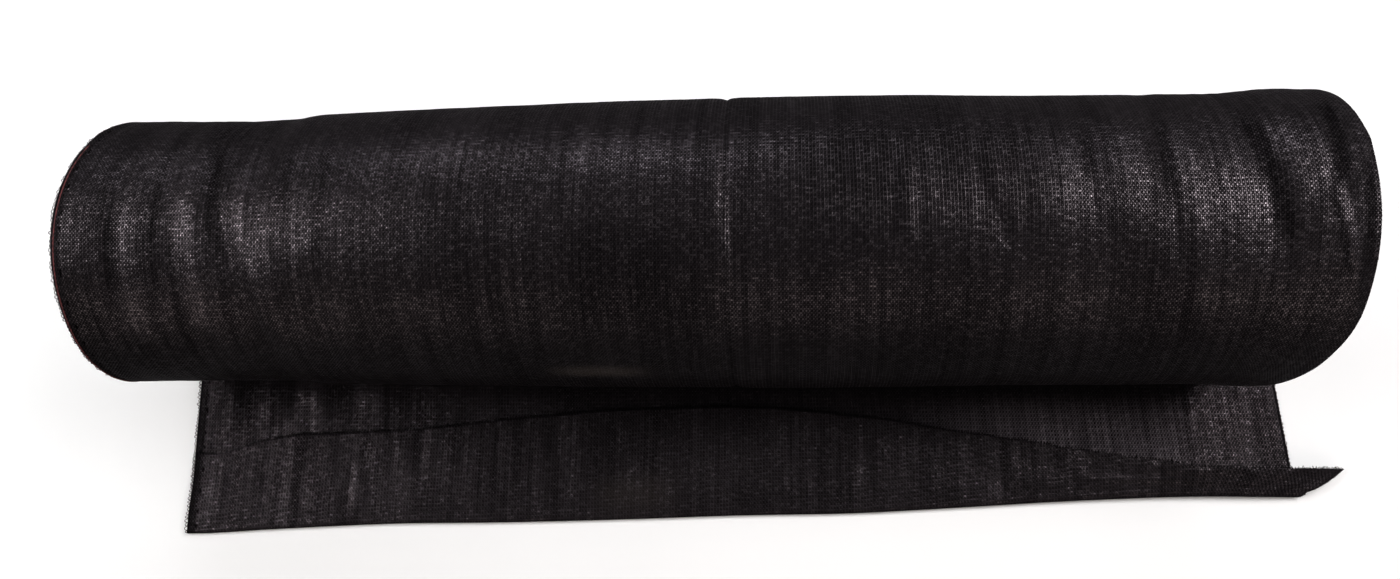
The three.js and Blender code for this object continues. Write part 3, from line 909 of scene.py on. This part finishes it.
def tightness(f, u, v, drift, painted_shading):
    """How taut and shiny the net lies, which also sets how pale it is painted: streaks and stripes along its
    wales, slow clouds, a duller left selvedge with slits along it, and painted shading: painted shade along
    folds and under the roll, painted highlights over ridges."""
    streak = f.ramp(f.noise(u, v, 150.0, 3.5), 0.25, 0.75, 0.76, 1.24)
    stripe = f.ramp(f.noise(u, v, 42.0, 4.5), 0.25, 0.75, 0.84, 1.16)
    cloud = f.ramp(f.noise(u, v, 9.0, 7.0, 2.0), 0.25, 0.75, 0.85, 1.15)
    tight = f.math("MULTIPLY", f.math("MULTIPLY", streak, stripe), cloud)
    slit_turn = f.math("FRACT", f.math("MULTIPLY_ADD", drift, 3.0, f.math("MULTIPLY", v, 37.0)))
    slit = f.math("MULTIPLY", f.near(u, *SLITS_ACROSS), f.ramp(slit_turn, 0.18, 0.24, 1.0, 0.0))
    selvedge = f.math("MULTIPLY", f.ramp(u, *SELVEDGE_ACROSS, 0.48, 1.0), f.math("SUBTRACT", 1.0, slit))
    tight = f.math("MULTIPLY", tight, selvedge)
    # Painted shading: colour and shine painted darker as painted shade along folds and under the roll,
    # lighter as painted highlights over ridges
    for place, shift, start, stop, width, less in painted_shading:
        aside = f.math("SUBTRACT", u, f.math("MULTIPLY", v, shift))
        beside = f.near(aside, place, 0.3 * width, width, less)
        ends = (start - PAINTED_SHADING_FADE, start + PAINTED_SHADING_FADE, stop - PAINTED_SHADING_FADE, stop + PAINTED_SHADING_FADE)
        shade = f.math("MULTIPLY", beside, f.stretch(v, ends))
        tight = f.math("MULTIPLY", tight, f.math("SUBTRACT", 1.0, shade))
    return tight


def net_colour(f, u, v, thread, tone_and_painted_light, dust, painted_light_pool):
    """Black, paler where there is more thread, with a stretch painted paler as a pool of light and a patch
    of dust.
    """
    colour = f.blend(f.math("MULTIPLY", thread, tone_and_painted_light), HOLE_BLACK, THREAD_BLACK)
    # A painted pool of light: a stretch of the loose end painted paler grey, as if lit more
    stretch = f.math("MULTIPLY", f.stretch(u, PAINTED_LIGHT_POOL_ACROSS, painted_light_pool), f.stretch(v, PAINTED_LIGHT_POOL_ALONG))
    colour = f.blend(f.math("MULTIPLY", stretch, thread), colour, PAINTED_LIGHT_POOL_GREY)
    dust_u, dust_v, dust_width, dust_length, dust_share = dust
    dust_across = f.near(u, dust_u, 0.2 * dust_width, dust_width, dust_share)
    dust_along = f.near(v, dust_v, 0.1 * dust_length, dust_length)
    return f.blend(f.math("MULTIPLY", dust_across, dust_along), colour, DUST_BROWN)


def stitch_height(f, u, v, wale, course, weave, swing, tilts):
    """Height for the bump: thread over holes, tape that leans more or less, tangles,
    and each stitch's own tilt."""
    lie = f.ramp(f.noise(u, v, 26.0, 16.0), 0.3, 0.7, 0.3, 0.9)
    lean = f.math("MULTIPLY_ADD", swing, lie, weave)
    tangled = f.math("MULTIPLY_ADD", f.noise(u, v, 95.0, 165.0), 5.0, lean)
    tilt_across = f.math("MULTIPLY", f.math("SUBTRACT", tilts.outputs[1], 0.5), f.math("FRACT", wale))
    tilt_along = f.math("MULTIPLY", f.math("SUBTRACT", tilts.outputs[2], 0.5), f.math("FRACT", course))
    return f.math("MULTIPLY_ADD", f.math("ADD", tilt_across, tilt_along), 1.2, tangled)


def black_net(name, gloss, end_gloss, tone_and_painted_light, dust, painted_light_pool, painted_shading):
    """Black knit with open holes between its threads: shiny where the thread lies taut, each stitch by
    its own amount, and dull in the holes. gloss holds for most of the width, end_gloss for the right end."""
    f = Finish(name)
    u, v = net_places(f)
    drift, wale, course = stitch_counts(f, u, v)
    weave, swing = knit(f, u, v, wale, course)
    stitch = f.spot(f.math("FLOOR", wale), f.math("FLOOR", f.math("MULTIPLY", course, 2.0)))
    dice = f.add("TexWhiteNoise", {"noise_dimensions": "2D"}, Vector=stitch)
    tilts = f.add("SeparateXYZ", Vector=dice.outputs["Color"])
    tight = tightness(f, u, v, drift, painted_shading)
    thread = f.math("MULTIPLY", f.math("MULTIPLY_ADD", weave, 0.92, 0.08), tight)
    glint = f.math("MULTIPLY_ADD", f.math("POWER", dice.outputs["Value"], 4.0), 2.2, 0.6)
    across_gloss = f.ramp(u, *RIGHT_END_ACROSS, gloss, end_gloss)
    shine = f.math("MULTIPLY", f.math("MULTIPLY", thread, glint), across_gloss)
    height = stitch_height(f, u, v, wale, course, weave, swing, tilts)
    bump = f.add("Bump", Strength=1.0, Distance=0.00012, Height=height)
    return f.finish(
        Base_Color=net_colour(f, u, v, thread, tone_and_painted_light, dust, painted_light_pool),
        Roughness=f.ramp(thread, 0.05, 0.7, 0.70, 0.27),
        Normal=bump.outputs[0],
        Specular_IOR_Level=shine,
        Specular_Tint=(1.0, 0.92, 0.97, 1),
    )


def turn_edges(name, with_marker):
    """Edges of the wound turns: grey thread loops on each crest, black between the turns,
    and on the marked side a trace of the marker thread down one flank."""
    f = Finish(name)
    u, v = net_places(f)
    across = f.math("FRACT", u)
    crest = f.near(across, 0.5, 0.10, 0.42)
    course = f.math("DIVIDE", v, COURSE_PITCH)
    loop = f.math("FLOOR", course)
    within = f.math("ABSOLUTE", f.math("SUBTRACT", f.math("FRACT", course), 0.5))
    dot = f.ramp(within, 0.18, 0.46, 1.0, 0.15)
    loop_place = f.spot(loop, f.math("FLOOR", u))
    chance = f.add("TexWhiteNoise", {"noise_dimensions": "2D"}, Vector=loop_place).outputs[0]
    patch = f.noise(v, u, 9.0, 0.6, 2.0)
    tone = f.math("MULTIPLY", f.math("MULTIPLY", crest, dot), f.ramp(chance, 0.0, 1.0, 0.3, 1.3))
    tone = f.math("MULTIPLY", tone, f.ramp(patch, 0.3, 0.7, 0.5, 1.25))
    colour = f.blend(tone, (0.0016, 0.0014, 0.0015, 1), (0.034, 0.030, 0.032, 1))
    if with_marker:
        flank = f.near(across, 0.82, 0.03, 0.10)
        shown = f.math("MULTIPLY", flank, f.ramp(f.noise(v, u, 22.0, 1.0), 0.5, 0.68))
        colour = f.blend(f.math("MULTIPLY", shown, 0.7), colour, (0.055, 0.010, 0.012, 1))
    bump = f.add("Bump", Strength=0.8, Distance=0.0008, Height=f.math("MULTIPLY", crest, dot))
    return f.finish(Base_Color=colour, Roughness=0.6, Normal=bump.outputs[0], Specular_IOR_Level=0.3)


def edge_thread():
    """Thread of the selvedge loops: greyer than the net, where single strands catch the light."""
    f = Finish("edge_thread")
    place = f.add("TexCoord").outputs["Object"]
    grain = f.add("TexNoise", Vector=place, Scale=160.0, Detail=2.0).outputs[0]
    colour = f.blend(f.ramp(grain, 0.3, 0.7), (0.060, 0.056, 0.057, 1), (0.220, 0.210, 0.210, 1))
    rough = f.ramp(grain, 0.3, 0.7, 0.6, 0.4)
    return f.finish(Base_Color=colour, Roughness=rough, Specular_IOR_Level=0.4)


def cut_thread_painted_shadow():
    """Cut ends of thread, painted near black, darker than the net's own thread, as a painted shadow line
    along the flap's free edge; too ragged to shine.
    """
    f = Finish("cut_thread_painted_shadow")
    place = f.add("TexCoord").outputs["Object"]
    grain = f.add("TexNoise", Vector=place, Scale=200.0, Detail=2.0).outputs[0]
    colour = f.blend(f.ramp(grain, 0.3, 0.7), (0.0010, 0.0009, 0.0010, 1), (0.0040, 0.0035, 0.0038, 1))
    return f.finish(Base_Color=colour, Roughness=0.9, Specular_IOR_Level=0.05)


def marker_red():
    """Dull red marker thread, dusty and darker where it passes under a stitch."""
    f = Finish("marker_red")
    place = f.add("TexCoord").outputs["Object"]
    grain = f.add("TexNoise", Vector=place, Scale=240.0, Detail=2.0).outputs[0]
    colour = f.blend(f.ramp(grain, 0.35, 0.65), (0.045, 0.012, 0.012, 1), (0.130, 0.030, 0.030, 1))
    rough = f.ramp(grain, 0.3, 0.7, 0.75, 0.55)
    return f.finish(Base_Color=colour, Roughness=rough, Specular_IOR_Level=0.3)


def pale_floor():
    """Pale matt floor with a breath of unevenness."""
    f = Finish("pale_floor")
    place = f.add("TexCoord").outputs["Object"]
    cloud = f.add("TexNoise", Vector=place, Scale=1.4, Detail=3.0).outputs[0]
    colour = f.blend(f.ramp(cloud, 0.3, 0.7), (0.87, 0.925, 0.905, 1), (0.90, 0.955, 0.935, 1))
    return f.finish(Base_Color=colour, Roughness=0.9, Specular_IOR_Level=0.1)


# Studio


def studio_floor(material):
    """A round floor that turns up into a wall all round: a profile of radius and height spun about Z."""
    bend = np.linspace(0, np.pi / 2, 12)
    cove = FLOOR_RADIUS + COVE_RADIUS * np.sin(bend)
    radius = np.concatenate([[0.02, 1.5, 3.0], cove, [FLOOR_RADIUS + COVE_RADIUS]])
    height = np.concatenate([np.zeros(3), COVE_RADIUS * (1 - np.cos(bend)), [WALL_HEIGHT]]) - FLOOR_DROP
    steps = FLOOR_STEPS_ROUND
    turn = 2 * np.pi * np.arange(steps) / steps
    x, y = radius[:, None] * np.cos(turn), radius[:, None] * np.sin(turn)
    points = np.stack([x, y, np.repeat(height[:, None], steps, 1)], -1)
    lattice = grid_quads(len(radius), steps, closed=True)
    number = (np.arange(len(radius))[:, None] * steps + np.arange(steps + 1)[None, :] % steps).ravel()
    hub = np.arange(steps)[None, ::-1]
    mesh = bpy.data.meshes.new("studio_floor")
    faces = number[lattice][:, ::-1].tolist() + hub.tolist()
    mesh.from_pydata(points.reshape(-1, 3).tolist(), [], faces)
    mesh.materials.append(material)
    mesh.polygons.foreach_set("use_smooth", np.ones(len(faces), bool))
    mesh.update()
    floor = bpy.data.objects.new("studio_floor", mesh)
    bpy.context.scene.collection.objects.link(floor)
    floor.visible_glossy = False


def light_studio():
    """Area lamps round the roll and a dim even sky."""
    for name, place, target, size, power, spread, colour in LAMPS:
        data = bpy.data.lights.new(name, "AREA")
        data.shape = "RECTANGLE"
        data.size, data.size_y = size
        data.energy = power
        data.spread = np.radians(spread)
        data.color = colour
        lamp = bpy.data.objects.new(name, data)
        lamp.location = place
        aim = Vector(target) - Vector(place)
        lamp.rotation_euler = aim.to_track_quat("-Z", "Y").to_euler()
        bpy.context.scene.collection.objects.link(lamp)
    world = bpy.data.worlds.new("studio_sky")
    world.use_nodes = True
    sky = world.node_tree.nodes["Background"]
    sky.inputs["Color"].default_value = (1.0, 0.93, 0.97, 1)
    sky.inputs["Strength"].default_value = 0.10
    bpy.context.scene.world = world
    bpy.context.scene.view_settings.view_transform = "Standard"
    bpy.context.scene.view_settings.look = "None"


# Putting it together

add_camera()
net = black_net("black_net", NET_GLOSS, NET_END_GLOSS, NET_PALENESS, ROLL_DUST, 0.0, ROLL_PAINTED_SHADING)
loops_grey = edge_thread()

wrap = net_wrap(net)
left_turns = end_turns("left_turns", -1, 61, turn_edges("left_turn_edges", True))
right_turns = end_turns("right_turns", 1, 67, turn_edges("right_turn_edges", False))
roll_trim = [roll_rim_loops(-1, loops_grey), roll_rim_loops(1, loops_grey), marker_thread(marker_red())]
for piece in (wrap, left_turns, right_turns, *roll_trim):
    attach(piece, "root")
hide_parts("net_roll")

# The loose end's net: a copy of the roll's net painted paler as painted light, with a painted pool of light
# and a painted shadow where it comes out from under the roll
sheet_net = black_net(
    "black_net_sheet",
    SHEET_GLOSS,
    SHEET_END_GLOSS,
    SHEET_PALENESS_WITH_PAINTED_LIGHT,
    SHEET_DUST,
    SHEET_PAINTED_LIGHT_POOL,
    SHEET_PAINTED_SHADOW,
)
sheet, sheet_middle, sheet_length, sheet_area = loose_end(sheet_net)
sheet_trim = [
    sheet_edge_loops(sheet_middle, -1, loops_grey),
    sheet_edge_loops(sheet_middle, 1, loops_grey),
    # Cut ends painted darker than the net: a painted shadow line along the flap's free edge
    cut_ends(sheet_middle, cut_thread_painted_shadow()),
]
for piece in (sheet, *sheet_trim):
    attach(piece, "root")
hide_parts("loose_end")

studio_floor(pale_floor())
light_studio()
